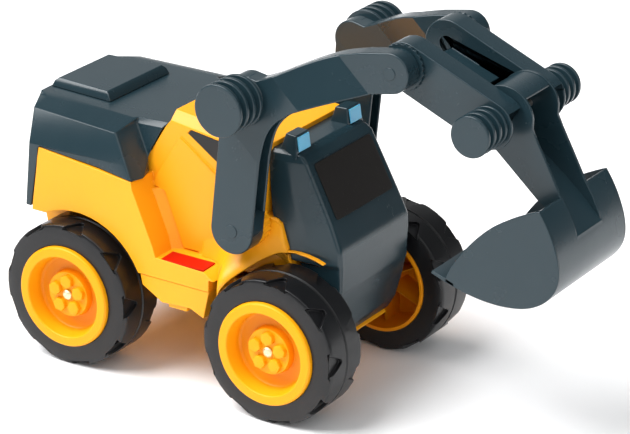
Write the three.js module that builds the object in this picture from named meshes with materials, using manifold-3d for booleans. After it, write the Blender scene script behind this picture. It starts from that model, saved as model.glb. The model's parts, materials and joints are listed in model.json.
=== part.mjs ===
// Sand-pit toy excavator on four wheels, in millimetres, +Z up.
// +X points forward (to the bucket), the right-hand side is -Y, the ground is Z = 0.
// Inside the model every place is measured from the rear axle line, and the whole
// model is then moved back so that its origin is under the middle of its box.
import * as THREE from 'three';
import { mergeVertices } from 'three/addons/utils/BufferGeometryUtils.js';
import Module from 'manifold-3d';

const wasm = await Module();
wasm.setup();

// ---- driving dimensions ---------------------------------------------------
const GAP = 0.3; // running clearance between neighbouring pieces
const WALL = 3; // wall of the moulded shells
const ORIGIN_X = 174.4; // rear axle to the middle of the overall length

const WHEELBASE = 192.5;
const TYRE_RADIUS = 60;
const TYRE_WIDTH = 46;
const TYRE_BORE = 42.8;
const TYRE_ROOM = 52.5; // hollow inside the moulded tyre
const TREAD_DEPTH = 3;
const TYRE_STEPS = 45;
const TREAD_PITCHES = 9; // pockets round each tread row
const TREAD_PHASE = THREE.MathUtils.degToRad(43); // first pocket, up from straight ahead
const POCKET_HALF_ANGLE = 10.8;
const POCKET_TIP = 7.5; // from the wheel's middle plane to the pocket's tip
const TRACK_HALF = 83; // wheel middle plane to the centre line
const RIM_RADIUS = 42.5;
const AXLE_RADIUS = 3;
const AXLE_HALF = 103;
const BUSH_RADIUS = 5.2;
const STUDS = 5;
const HUB_FACE = 19.2; // raised middle of the dish, from the wheel's middle plane
const WHEEL_RIBS = 6;

const BODY_HALF = 90; // fender and sill side
const CAB_HALF = 60; // cab side wall
const ROOF_HALF = 52; // cab roof, inside the chamfers
const CORE_HALF = 56; // chassis between the wheels
const PAN_FLOOR = 52;
const ARCH_RADIUS = 67; // wheel arch round the axle
const SEAM_Z = 89; // joint between chassis pan and body shell

const BOOM_PIVOT = [149, 146]; // x, z
const BOOM_TIP = [271, 292];
const BUCKET_PIVOT = [346, 261];
const ELBOW = [157, 256];
const ARM_THICKNESS = 17;
const ARM_END_RADIUS = 19;
const ARM_TIP_RADIUS = 16;
const ELBOW_RADIUS = 18;
const GRIP_RADIUS = { elbow: 21, dipper: 16.3 };
const ELBOW_CAP = 121; // half width over the elbow grips
const DIPPER_HALF = 42;
const DIPPER_BAR = 20.5; // width of each dipper bar
const DIPPER_CAP = 71.5; // half width over the dipper grips
const BUCKET_HALF = 53.8;
const YOKE_HALF = 21; // half width of the bucket's arm
const PIN_RADIUS = 5.5;
const ROD_RADIUS = 3;

const SIDES = { right: -1, left: 1 };

// ---- finishes ---------------------------------------------------------------
const finish = (color, roughness, metalness = 0) => () =>
  new THREE.MeshStandardMaterial({ color, roughness, metalness });
const yellow = finish(0xfcbf3e, 0.38);
const slate = finish(0x2f4450, 0.36);
const rubber = finish(0x26282a, 0.75);
const steel = finish(0xb9bcc0, 0.3, 1);
const skyBlue = finish(0x62b8dd, 0.3);
const red = finish(0xe02a06, 0.35);
const blackFilm = finish(0x211b19, 0.45);
const smoke = finish(0x3a3634, 0.35);
const black = finish(0x1c1d1f, 0.5);

// ---- solids -----------------------------------------------------------------
function closedBody(positions, faces) {
  const body = (order) => new wasm.Manifold(new wasm.Mesh({
    numProp: 3,
    vertProperties: new Float32Array(positions),
    triVerts: new Uint32Array(order),
  }));
  const first = body(faces);
  return first.volume() < 0 ? body(Array.from(faces).reverse()) : first;
}

function solid(source) {
  const geometry = source.clone();
  geometry.deleteAttribute('normal');
  geometry.deleteAttribute('uv');
  const merged = mergeVertices(geometry.index ? geometry.toNonIndexed() : geometry, 1e-4);
  return bodyOf(merged);
}

function geometryOf(manifold) {
  const mesh = manifold.getMesh();
  const geometry = new THREE.BufferGeometry();
  const positions = new Float32Array(mesh.vertProperties);
  geometry.setAttribute('position', new THREE.BufferAttribute(positions, 3));
  geometry.setIndex(new THREE.BufferAttribute(new Uint32Array(mesh.triVerts), 1));
  return geometry;
}

const union = (...pieces) => pieces.flat().reduce((all, piece) => all.add(piece));
const cut = (base, ...tools) => tools.flat().reduce((left, tool) => left.subtract(tool), base);
const bodyOf = (geometry) => closedBody(geometry.attributes.position.array, geometry.index.array);
const moved = (piece, x, y, z) => bodyOf(geometryOf(piece).translate(x, y, z));
const mirrored = (piece) => bodyOf(geometryOf(piece).scale(1, -1, 1));
const bothSides = (piece) => union(piece, mirrored(piece));

// A side outline of [x, z] points, standing between two values of y.
function plate(outline, yLow, yHigh) {
  const shape = new THREE.Shape(outline.map(([x, z]) => new THREE.Vector2(x, z)));
  const geometry = new THREE.ExtrudeGeometry(shape, { depth: yHigh - yLow, bevelEnabled: false });
  geometry.rotateX(Math.PI / 2);
  geometry.translate(0, yHigh, 0);
  return solid(geometry);
}

function block(xRange, yRange, zRange) {
  const size = [xRange, yRange, zRange].map(([low, high]) => high - low);
  const middle = [xRange, yRange, zRange].map(([low, high]) => (low + high) / 2);
  return solid(new THREE.BoxGeometry(...size).translate(...middle));
}

// A round bar lying across the model, axis at [x, z].
function crossBar([x, z], radius, yLow, yHigh, sides = 32) {
  const geometry = new THREE.CylinderGeometry(radius, radius, yHigh - yLow, sides);
  geometry.rotateY(Math.PI / sides);
  geometry.translate(x, (yLow + yHigh) / 2, z);
  return solid(geometry);
}

const planOf = (section) => section.map(([x, y]) => new THREE.Vector2(x, y));

// A body through several closed sections, lowest first, with the same number of [x, y, z] points.
function loft(rows) {
  const clockwise = THREE.ShapeUtils.isClockWise(planOf(rows[0]));
  const sections = clockwise ? rows.map((row) => row.slice().reverse()) : rows;
  const count = sections[0].length;
  const positions = sections.flat(2);
  const faces = [];
  for (let row = 0; row + 1 < sections.length; row += 1) {
    for (let i = 0; i < count; i += 1) {
      const a = row * count + i;
      const b = row * count + ((i + 1) % count);
      faces.push(a, b, b + count, a, b + count, a + count);
    }
  }
  const capOf = (section) => THREE.ShapeUtils.triangulateShape(planOf(section), []);
  const last = (sections.length - 1) * count;
  capOf(sections[0]).forEach(([a, b, c]) => faces.push(c, b, a));
  const upper = capOf(sections[sections.length - 1]);
  upper.forEach(([a, b, c]) => faces.push(last + a, last + b, last + c));
  return closedBody(positions, faces);
}

// Closes a half outline, from the rear centre to the front centre on the +Y side, into a whole one.
function wholeOutline(half) {
  const other = half.filter(([, y]) => y > 0).map(([x, y, z]) => [x, -y, z]);
  return [...other, ...half.slice().reverse()];
}

const levels = (rows) => loft(rows.map(wholeOutline));

function arc([cx, cz], radius, fromDegrees, toDegrees, steps) {
  const points = [];
  for (let i = 0; i <= steps; i += 1) {
    const angle = THREE.MathUtils.degToRad(fromDegrees + ((toDegrees - fromDegrees) * i) / steps);
    points.push([cx + radius * Math.cos(angle), cz + radius * Math.sin(angle)]);
  }
  return points;
}

// ---- model ------------------------------------------------------------------
const model = new THREE.Group();
model.position.x = -ORIGIN_X;

function add(name, piece, material) {
  const geometry = piece.isBufferGeometry ? piece : geometryOf(piece);
  const mesh = new THREE.Mesh(geometry, material());
  mesh.name = name;
  model.add(mesh);
  return mesh;
}

// Adds the right-hand piece and its mirror image.
function addPair(name, piece, material) {
  add(`${name}_right`, piece, material);
  add(`${name}_left`, mirrored(piece), material);
}

// ---- wheels -----------------------------------------------------------------
// Nine triangular pockets in each tread row open onto the shoulder, the two rows half a pitch apart.
// The local +Y side is the outside of the wheel.
function treadPockets() {
  const half = TYRE_WIDTH / 2;
  const reach = (TYRE_RADIUS - TREAD_DEPTH) * Math.tan(THREE.MathUtils.degToRad(POCKET_HALF_ANGLE));
  const corners = [[-reach, half + 2], [reach, half + 2], [2, POCKET_TIP + 1], [0.8, POCKET_TIP],
    [-0.8, POCKET_TIP], [-2, POCKET_TIP + 1]];
  const shape = new THREE.Shape(corners.map(([across, y]) => new THREE.Vector2(across, y)));
  const prisms = [];
  for (let i = 0; i < TREAD_PITCHES; i += 1) {
    for (const [offset, sign] of [[0, 1], [0.5, -1]]) {
      const prism = new THREE.ExtrudeGeometry(shape, { depth: 12, bevelEnabled: false });
      prism.translate(0, 0, TYRE_RADIUS - 9);
      prism.rotateY(Math.PI / 2 - TREAD_PHASE + ((i + offset) / TREAD_PITCHES) * 2 * Math.PI);
      const body = solid(prism);
      prisms.push(sign > 0 ? body : mirrored(body));
    }
  }
  return cut(union(prisms), crossBar([0, 0], TYRE_RADIUS - TREAD_DEPTH, -40, 40, TYRE_STEPS));
}

function tyreSolid() {
  const half = TYRE_WIDTH / 2;
  const base = TYRE_RADIUS - TREAD_DEPTH;
  const outside = [[TYRE_ROOM, half - 4], [TYRE_BORE, half - 4], [TYRE_BORE, half], [50, half],
    [base - 0.1, half - 1], [TYRE_RADIUS - 0.8, half - 2], [TYRE_RADIUS, half - 4.5], [TYRE_RADIUS, 1.3]];
  const inside = outside.map(([r, y]) => [r, -y]).reverse();
  const outline = [...outside, [base + 0.8, 0], ...inside, outside[0]];
  const profile = outline.map(([r, y]) => new THREE.Vector2(r, y));
  const ring = new THREE.LatheGeometry(profile.reverse(), TYRE_STEPS).rotateY(Math.PI / TYRE_STEPS);
  return cut(solid(ring), treadPockets());
}

// The rim is a deep dish with five studs outside and a ribbed hollow behind it.
// Its local +Y side is the outside of the wheel.
function rimSolid() {
  const profile = [
    [AXLE_RADIUS + GAP, -21], [8, -21], [8, 13], [39, 13], [39.5, -24.5], [RIM_RADIUS, -24.5],
    [RIM_RADIUS, 25.5], [41, 27.5], [37.5, 27.5], [30.5, 16.5], [21, 16.5], [18.3, HUB_FACE],
    [AXLE_RADIUS + GAP, HUB_FACE],
    [AXLE_RADIUS + GAP, -21],
  ].map(([r, y]) => new THREE.Vector2(r, y));
  const dish = solid(new THREE.LatheGeometry(profile, 28));
  const studs = [];
  for (let i = 0; i < STUDS; i += 1) {
    const angle = ((i + 0.25) / STUDS) * 2 * Math.PI;
    const stud = new THREE.CylinderGeometry(4.6, 5.3, 4.6, 8);
    stud.translate(12.4 * Math.cos(angle), HUB_FACE + 0.3, 12.4 * Math.sin(angle));
    studs.push(solid(stud));
  }
  const ribs = [];
  for (let i = 0; i < WHEEL_RIBS; i += 1) {
    const rib = new THREE.BoxGeometry(33, 24, 2);
    rib.translate(23, 2, 0);
    rib.rotateY((i / WHEEL_RIBS) * 2 * Math.PI);
    ribs.push(solid(rib));
  }
  return union(dish, studs, ribs);
}

// A push-on cap on the end of the steel axle, with a blind hole.
function axleCap() {
  const low = HUB_FACE + GAP;
  const profile = [[0, 22.2], [2.5, 21.9], [4.1, 20.9], [4.3, low], [3.2, low], [3.2, 20.3], [0, 20.3]];
  return solid(new THREE.LatheGeometry(profile.reverse().map(([r, y]) => new THREE.Vector2(r, y)), 10));
}

function addWheels() {
  const tyre = tyreSolid();
  const rim = rimSolid();
  const cap = axleCap();
  const bushHole = crossBar([0, 0], AXLE_RADIUS + GAP + 0.2, -4, 4, 12);
  const bush = cut(crossBar([0, 0], BUSH_RADIUS, -3, 3, 12), bushHole);
  for (const [end, x] of [['rear', 0], ['front', WHEELBASE]]) {
    const axle = [x, TYRE_RADIUS];
    add(`${end}_axle`, crossBar(axle, AXLE_RADIUS, -AXLE_HALF, AXLE_HALF, 16), steel);
    for (const [side, sign] of Object.entries(SIDES)) {
      const turned = (piece) => (sign > 0 ? piece : mirrored(piece));
      const place = (piece, y) => moved(turned(piece), x, sign * y, TYRE_RADIUS);
      add(`${end}_tyre_${side}`, place(tyre, TRACK_HALF), rubber);
      add(`${end}_rim_${side}`, place(rim, TRACK_HALF), yellow);
      add(`${end}_axle_cap_${side}`, place(cap, TRACK_HALF), steel);
      add(`${end}_axle_bush_${side}`, place(bush, CORE_HALF - 3), black);
    }
  }
}

// ---- chassis ----------------------------------------------------------------
const FRONT_CORE_HALF = 44; // chassis inside the front cowl
const SCREWS = [[-25, 30], [-25, -30], [120, 30], [120, -30]];

function panSolid() {
  const outline = [[-50, SEAM_Z], [-53, 72], [-46, PAN_FLOOR], [150, PAN_FLOOR], [150, SEAM_Z]];
  const nose = [[138, PAN_FLOOR], [152, 42], [198, 41], [210.5, 44], [206.5, 49], [202, 54],
    [202, SEAM_Z], [138, SEAM_Z]];
  const step = [[62, SEAM_Z], [64, 80], [83, 69], [110, 70.5], [123, 65], [128, SEAM_Z]];
  const outer = union(
    plate(outline, -CORE_HALF + 2, CORE_HALF - 2),
    plate(nose, -FRONT_CORE_HALF, FRONT_CORE_HALF),
    plate(step, -BODY_HALF + 0.6, BODY_HALF - 0.6),
    bothSides(block([148, 205], [FRONT_CORE_HALF - 1, CORE_HALF - 2], [52, 74])),
    bothSides(block([88, 106], [78, 87.5], [66, 76])),
  );
  const inside = [
    block([-48, 147], [-CORE_HALF + WALL + 2, CORE_HALF - WALL - 2], [PAN_FLOOR + WALL, 120]),
    plate([[140, PAN_FLOOR + WALL], [153, 45], [196, 44], [200, 54], [200, 120], [140, 120]],
      -FRONT_CORE_HALF + WALL, FRONT_CORE_HALF - WALL),
    bothSides(block([151, 202], [FRONT_CORE_HALF - 4, CORE_HALF - WALL - 2], [55, 71])),
    bothSides(plate([[68, SEAM_Z + 1], [69, 82], [85, 73], [110, 73.5], [121, 69], [125, SEAM_Z + 1]],
      CORE_HALF - 2, BODY_HALF - WALL - 1)),
  ];
  const holes = [0, WHEELBASE].map((x) =>
    bothSides(crossBar([x, TYRE_RADIUS], BUSH_RADIUS + GAP, CORE_HALF - 12, CORE_HALF + 2, 12)));
  const screwHoles = SCREWS.map(([x, y]) => moved(solid(
    new THREE.CylinderGeometry(2.4, 2.4, 10, 8).rotateX(Math.PI / 2)), x, y, PAN_FLOOR + 2));
  const seats = SCREWS.map(([x, y]) => moved(solid(
    new THREE.CylinderGeometry(5.5, 5.5, 2, 10).rotateX(Math.PI / 2)), x, y, PAN_FLOOR));
  return cut(outer, inside, holes, screwHoles, seats);
}

function screwSolid([x, y]) {
  const low = PAN_FLOOR;
  const profile = [[0, low + 16], [1.2, low + 14], [1.8, low + 12], [1.8, low + 0.7], [4.6, low + 0.7],
    [4.6, low - 0.4], [0, low - 0.4]];
  const geometry = new THREE.LatheGeometry(profile.reverse().map(([r, h]) => new THREE.Vector2(r, h)), 8);
  return moved(solid(geometry.rotateX(Math.PI / 2)), x, y, 0);
}

// ---- body shell --------------------------------------------------------------
const FENDER_TOP = { rear: [-37, 174.7], front: [54, 164.7] };
const FENDER_CREASE = [[55, 159], [78, 105]]; // leaning front edge of the rear fender
const CAB_SIDE = [[52, 96], [52, 150], [48, 175], [67, 206], [71.5, 211.5], [71.5, 218.7],
  [160, 208.6], [160, 152], [165, 151.5], [175, 148.5], [185, 121], [185, 96]];

function rearBody() {
  const row = (z, rear, corner, side, front) => [
    [rear, 0, z], [rear + 1, 50, z], [corner, side, z], [front, side, z], [front, 0, z]];
  const [topX, topZ] = FENDER_TOP.rear;
  const [frontX, frontZ] = FENDER_TOP.front;
  const top = [[-60, 0, topZ + 1.6], [-59, 50, topZ + 1.6], [topX, BODY_HALF, topZ],
    [frontX, BODY_HALF, frontZ], [frontX, 0, frontZ]];
  return levels([row(SEAM_Z + GAP, -56, -43, BODY_HALF, 83), row(116, -62, -44.5, BODY_HALF, 74),
    row(159, -60.5, -38.5, BODY_HALF, 55), top]);
}

function sill() {
  const outline = [[50, SEAM_Z + GAP], [129.5, SEAM_Z + GAP], [134.5, 98], [123, 105], [50, 107]];
  return plate(outline, -BODY_HALF, BODY_HALF);
}

// Fairing that sweeps from the sill's front corner in to the cab above the front wheel.
function fairing() {
  const row = (z, nose, out) => [[100, 0, z], [100, out[0], z], [122, out[1], z], [138, out[2], z],
    [151, out[3], z], [166, out[4], z], [nose, out[5], z], [nose, 0, z]];
  const flush = CAB_HALF - 1;
  const top = [[100, 0, 152], [100, flush, 152], [122, flush, 152], [138, flush, 152], [151, flush, 151],
    [165, flush, 150], [174, flush, 147], [174, 0, 147]];
  return levels([
    row(96, 185, [65, 69, BODY_HALF, 85, 73, CAB_HALF]),
    row(105, 185, [63, 68, 86, 83, 72, CAB_HALF]),
    row(113, 185, [61, 65, 78, 80, 71, CAB_HALF]),
    row(127, 183, [60, 61, 65, 68, 66, CAB_HALF]),
    top,
  ]);
}

// Lip of the yellow wheel arch that carries on in front of the cab, under the cowl.
function archLip() {
  const axle = [WHEELBASE, TYRE_RADIUS];
  const outline = [...arc(axle, ARCH_RADIUS + 1.3, 108, 70, 6), ...arc(axle, ARCH_RADIUS, 70, 108, 6)];
  return bothSides(plate(outline, CAB_HALF - 2.6, 61.6));
}

// Slopes the upper edge of the cab side inward to the roof.
function roofChamfer() {
  const row = (y, z) => [[30, y, z[0]], [200, y, z[1]], [200, 100, z[1]], [30, 100, z[0]]];
  return bothSides(loft([row(CAB_HALF, [216.9, 194.8]), row(ROOF_HALF, [223.4, 204.2]),
    row(ROOF_HALF, [260, 260])]));
}

// Slanted strip in the back corner of the recess beside the cab.
function cornerStrip() {
  return bothSides(loft([
    [[78, 68, 105], [76, CAB_HALF - 2, 105], [88, CAB_HALF - 2, 105]],
    [[56, 68, 153], [54, CAB_HALF - 2, 153], [68, CAB_HALF - 2, 153]],
  ]));
}

function doorPanel() {
  const outline = [[54, 155], [81, 200], [116, 176.5], [156, 149], [156, 110], [85, 107], [67, 151.6]];
  return bothSides(plate(outline, CAB_HALF - 2, CAB_HALF + 2.2));
}

const WINDOW = [[88, 204.2], [91, 207.4], [150, 199.5], [150, 163], [120, 183]];

function windowShape(margin, yLow, yHigh) {
  const [cx, cz] = [122, 192];
  const grown = WINDOW.map(([x, z]) => {
    const reach = Math.hypot(x - cx, z - cz);
    return [cx + ((x - cx) * (reach + margin)) / reach, cz + ((z - cz) * (reach + margin)) / reach];
  });
  return plate(grown, yLow, yHigh);
}

function bodyHollow() {
  const rear = plate([[-52, 80], [-52, 168], [48, 158], [70, 100], [70, 80]],
    -CORE_HALF + 4, CORE_HALF - 4);
  const fender = plate([[-36, 118], [-32, 168], [50, 159.5], [50, 155], [70, 108], [60, 108]],
    CORE_HALF - 5, BODY_HALF - WALL);
  const wheelWall = crossBar([0, TYRE_RADIUS], ARCH_RADIUS + WALL, CORE_HALF - 6, BODY_HALF, 40);
  const cab = plate([[60, 80], [56, 152], [53, 174], [71, 202], [75, 208], [75, 214], [156, 204.5],
    [156, 150], [170, 144], [180, 118], [180, 80]], -ROOF_HALF + WALL, ROOF_HALF - WALL);
  const lowerCab = plate([[60, 80], [56, 152], [53, 174], [62, 190], [156, 190], [156, 150],
    [170, 144], [180, 118], [180, 80]], -CAB_HALF + WALL + 2, CAB_HALF - WALL - 2);
  return union(rear, cab, lowerCab, bothSides(cut(fender, wheelWall)));
}

function shellSolid() {
  const cab = plate(CAB_SIDE, -CAB_HALF, CAB_HALF);
  const leaned = cut(cab, roofChamfer());
  const outer = union(rearBody(), sill(), fairing(), leaned, cornerStrip(), doorPanel());
  const frontStop = block([186, 300], [-200, 200], [0, 300]);
  const rearArch = bothSides(crossBar([0, TYRE_RADIUS], ARCH_RADIUS, CORE_HALF + 1.5, 130, 48));
  const frontArch = bothSides(crossBar([WHEELBASE, TYRE_RADIUS], ARCH_RADIUS, CORE_HALF + 1.5, 130, 48));
  const low = bothSides(block([128, 200], [CORE_HALF - 2, 130], [60, 99]));
  const fenderEnd = bothSides(block([-80, -26], [CORE_HALF + 1.5, 130], [60, 119.5]));
  const noseRoom = block([140, 200], [-CAB_HALF - 1, CAB_HALF + 1], [60, 98]);
  const pinHole = crossBar(BOOM_PIVOT, PIN_RADIUS + GAP, -CAB_HALF - 8, CAB_HALF + 8, 20);
  const pocket = bothSides(windowShape(0.4, CAB_HALF - 1.6, CAB_HALF + 6));
  const seats = bothSides(reflectorShape(GAP, 1.6 + GAP));
  const ratchetRoom = bothSides(crossBar(BOOM_PIVOT, 20, CAB_HALF + 2.5, 100, 28));
  const tails = bothSides(hoodTail(GAP));
  const shell = cut(outer, bodyHollow(), rearArch, frontArch, low, noseRoom, frontStop, fenderEnd);
  return cut(union(shell, archLip()), pinHole, pocket, seats, tails, ratchetRoom);
}

// Flat red reflector let into the top of the sill.
function reflectorShape(margin, depth) {
  const x = [81 - margin, 120 + margin];
  return loft([106 - depth, 110].map((z) => [
    [x[0], 71 - margin, z], [x[1], 71 - margin, z], [x[1] + 1, BODY_HALF - 1.5 + margin, z],
    [x[0] + 1, BODY_HALF - 1.5 + margin, z]]));
}

function reflector() {
  const upper = block([0, 300], [0, 200], [106, 200]);
  return cut(reflectorShape(0, 1.6), upper);
}

// ---- rear hood ----------------------------------------------------------------
// Narrow tail that wraps each rear corner of the hood and hangs down beside the fender.
function hoodTail(margin) {
  const m = margin;
  const row = (z, front, rear, side) => [[front + m, side - 6 - m, z], [front + m, side + m, z],
    [rear, side + m, z], [rear - 6 - m, side - 13, z], [rear + 1.5 + m, side - 13 - m, z]];
  return loft([row(122 - m, -45.2, -50.3, 89.8), row(150, -40.8, -48.3, 89.8),
    row(176.5, -36.5, -45.9, 89.8), row(183, -35, -46.5, 84.5)]);
}

function hoodSections(inset) {
  const i = inset;
  const roof = 205.5 - i;
  const half = BODY_HALF;
  const sides = [
    [[-66.8 + i, 0, 150], [-65.2 + i, 50 - i, 150], [-47.8 + i, half - i, 150],
      [63.5 - i, half + 4.2 - i, 150], [54 - i, 64 - i, 150], [53 - i, 61.5 - i, 150], [53 - i, 0, 150]],
    [[-66.8 + i, 0, 177], [-65.2 + i, 50 - i, 177], [-45.8 + i, half - i, 177],
      [46.4 - i, half - 3.4 - i, 177], [52 - i, 63 - i, 177], [48.4 - i, 61.5 - i, 177], [48 - i, 0, 177]],
    [[-66.4 + i, 0, 201.5 - i], [-65 + i, 50 - i, 201.5 - i], [-52.5 + i, 74 - i, 200.5 - i],
      [32.5 - i, 80.5 - i, 198.8 - i], [37 - i, 57 - i, 201 - i], [61.5 - i, 57 - i, 202 - i],
      [61.5 - i, 0, 202 - i]],
    [[-65 + i, 0, roof], [-64 + i, 49 - i, roof], [-53 + i, 56 - i, roof - 0.3], [35 - i, 58 - i, roof],
      [37 - i, 55 - i, roof], [65 - i, 53 - i, roof + 0.6], [65 - i, 0, roof + 0.6]],
  ];
  return levels(sides);
}

function hoodSolid() {
  const below = plate([[-120, 182], [-37, 174.7 + GAP], [54, 164.7 + GAP], [90, 160.7], [90, 100],
    [-120, 100]], -130, 130);
  const tails = bothSides(hoodTail(0));
  const shell = union(cut(hoodSections(0), below), tails);
  const backOfCab = CAB_SIDE.slice(0, 6).map(([x, z]) => [x - GAP - 0.1, z + 0.1]);
  const room = plate([...backOfCab, [71.1, 222], [300, 222], [300, 96]], -CAB_HALF - 1, CAB_HALF + 1);
  const bodyCorner = cut(rearBody(), bothSides(hoodTail(GAP)));
  return cut(shell, room, hoodSections(WALL), bodyCorner);
}

function engineCover() {
  const row = (z, rear, rearHalf, front, frontHalf) => [[rear, 0, z], [rear, rearHalf, z],
    [front, frontHalf, z], [front, 0, z]];
  const outer = levels([row(205.5 + GAP, -62, 37.5, -0.5, 41.5), row(210.5, -60, 36, -3, 40.2),
    row(213, -57, 34, -6, 38)]);
  return cut(outer, block([-56, -7], [-31, 31], [200, 210]));
}

// ---- front cowl ----------------------------------------------------------------
// Each row: height, rear x, rear half width, ridge x, ridge half width, front x, front half width.
const COWL_ROWS = [
  [50, 206, 46, 208, 46, 212.5, 44],
  [60, 207, 48, 210, 48, 218, 46.5],
  [82, 207, 50.5, 212, 50.5, 222.5, 49.5],
  [97, 206, 52, 212, 52, 225, 51],
  [117, 189, 54, 205, 53.5, 225.5, 51],
  [120.5, 185, 59.3, 203, 57.5, 225.5, 51.4],
  [132, 181.5, 57.5, 197, 56.5, 224.9, 51.2],
  [152.3, 165.5, 57, 191, 55.5, 215.5, 49.5],
  [197, 159, 53, 173, 52, 191.6, 48],
  [202, 158, 52, 172, 50.5, 186, 46.5],
  [204.5, 159, 49, 170, 47, 181, 43],
];

function cowlSections(inset) {
  const rows = COWL_ROWS.map(([z, rear, rearHalf, ridge, ridgeHalf, front, frontHalf], index) => {
    const height = index === COWL_ROWS.length - 1 ? z - inset : z;
    const back = rear - (inset ? 10 : 0);
    return [[back, 0, height], [back, rearHalf - inset, height], [ridge - inset, ridgeHalf - inset, height],
      [front - 3, frontHalf - inset, height], [front - inset, frontHalf - 3 - inset, height],
      [front - inset, 0, height]];
  });
  if (inset) {
    rows[0] = rows[0].map(([x, y]) => [x, y, 40]);
  }
  return levels(rows);
}

function lampTower() {
  const row = (z, rear, front, inner, outer) => [[rear, inner - 1, z], [rear, outer - 2, z],
    [front, outer, z], [front, inner, z]];
  return loft([row(199, 163, 182.2, 25.5, 50), row(206, 165.5, 181, 27, 48),
    row(216.5, 168.5, 179.4, 28, 46.3), row(217.6, 169.5, 178.4, 29, 45.3)]);
}

function lens() {
  const row = (z, back) => [[back, 29.4, z], [back, 45.6, z], [back + 0.9, 45.6, z], [back + 0.9, 29.4, z]];
  return loft([row(204.7, 181.3 + GAP), row(216.2, 179.45 + GAP)]);
}

function cowlSolid() {
  const outer = union(cowlSections(0), bothSides(lampTower()));
  const bodyRoom = plate([[100, 260], [160.4, 260], [160.4, 152.5], [165.3, 152], [175.5, 148.9],
    [185.6, 121.2], [185.6, 0], [100, 0]], -120, 120);
  const bossRoom = bothSides(block([180, 205.6], [30, 60], [40, 76]));
  const lipRoom = bothSides(crossBar([WHEELBASE, TYRE_RADIUS], ARCH_RADIUS + 1.5 + GAP, 57 - GAP, 130, 40));
  const panRoom = plate([[100, 0], [198, 39.6], [211.5, 43.6], [211.5, 49.4], [100, 49.4]],
    -FRONT_CORE_HALF - 0.4, FRONT_CORE_HALF + 0.4);
  return cut(outer, cowlSections(WALL), bodyRoom, bossRoom, lipRoom, panRoom);
}

// Thin plain panel on the sloping front face of the cowl.
function frontPanel() {
  const slope = (215.5 - 191.6) / (197 - 152.3);
  const at = (z, y, lift) => [191.6 + (197 - z) * slope + lift, y, z];
  const row = (z, half) => [at(z, -half, GAP), at(z, half, GAP), at(z, half, GAP + 0.7),
    at(z, -half, GAP + 0.7)];
  return loft([row(154, 41.5), row(195.6, 41.2)]);
}

// ---- boom ----------------------------------------------------------------------
// Distance across the arm's creases; the arm leans inward between the crease lines.
const CREASE = [0.68, 0.733];
const LEAN = [[-1000, 90], [270, 90], [326.5, 84], [372, 62], [2000, 62]];
const alongLean = (x, z) => x * CREASE[0] + z * CREASE[1];

// Pushes every corner of a piece towards -Y by the amount its place asks for.
function leaned(piece, lean) {
  const geometry = geometryOf(piece);
  const { position } = geometry.attributes;
  for (let i = 0; i < position.count; i += 1) {
    position.setY(i, position.getY(i) - lean(position.getX(i), position.getZ(i)));
  }
  return bodyOf(geometry);
}

// Splits a flat plate, whose outer face is y = 0, at the crease lines and leans each piece.
function leanPlate(flat) {
  const direction = Math.atan2(CREASE[1], CREASE[0]);
  const pieces = [];
  for (let i = 0; i + 1 < LEAN.length; i += 1) {
    const [start, yStart] = LEAN[i];
    const [end, yEnd] = LEAN[i + 1];
    const zone = new THREE.BoxGeometry(end - start + 0.4, 100, 3000);
    zone.translate((start + end) / 2, 0, 0);
    zone.rotateY(-direction);
    const lean = (x, z) => yStart + ((alongLean(x, z) - start) * (yEnd - yStart)) / (end - start);
    pieces.push(leaned(flat.intersect(solid(zone)), lean));
  }
  return union(pieces);
}

function armOutline() {
  const lowerEnd = arc(BOOM_PIVOT, ARM_END_RADIUS, 172, 353, 12);
  const inner = [[174, 209], [177, 226], [182, 237], [191, 246], [206.5, 255], [254, 272]];
  const tip = arc(BOOM_TIP, ARM_TIP_RADIUS, -75, 103, 12);
  const top = [[246, 303.5], [228, 298.5], [212, 293], [196, 285.5], [181.5, 278], [168, 272]];
  const elbow = arc(ELBOW, ELBOW_RADIUS, 90, 195, 7);
  return [...lowerEnd, ...inner, ...tip, ...top, ...elbow];
}

function armHollow() {
  return [[134.5, 165], [141.5, 235], [142.5, 256], [147.5, 266], [157, 270.5], [168, 268.5], [182, 274],
    [212, 288.5], [229, 294], [248, 299], [251, 264], [206, 247], [198, 242], [188, 225], [184, 205],
    [178, 162]];
}

function boomArm() {
  const flat = cut(plate(armOutline(), 0, ARM_THICKNESS),
    plate(armHollow(), 2.6, ARM_THICKNESS - 2.6));
  const drum = crossBar(ELBOW, ELBOW_RADIUS, -90, -71.5, 36);
  const holes = [
    crossBar(BOOM_PIVOT, PIN_RADIUS + GAP, -100, -60, 20),
    crossBar(BOOM_TIP, PIN_RADIUS - 0.5 + GAP, -80, -30, 20),
    crossBar(ELBOW, 8 + GAP, -95, -75, 20),
  ];
  return cut(union(leanPlate(flat), drum), holes);
}

// Toothed ring that the arm clicks against.
function ratchet([x, z], radius, bore, yLow, yHigh, teeth) {
  const outline = [];
  for (let i = 0; i < teeth * 2; i += 1) {
    const angle = (i / (teeth * 2)) * 2 * Math.PI;
    const r = i % 2 ? radius : radius - 1.2;
    outline.push([x + r * Math.cos(angle), z + r * Math.sin(angle)]);
  }
  return cut(plate(outline, yLow, yHigh), crossBar([x, z], bore, yLow - 1, yHigh + 1, 20));
}

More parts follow.
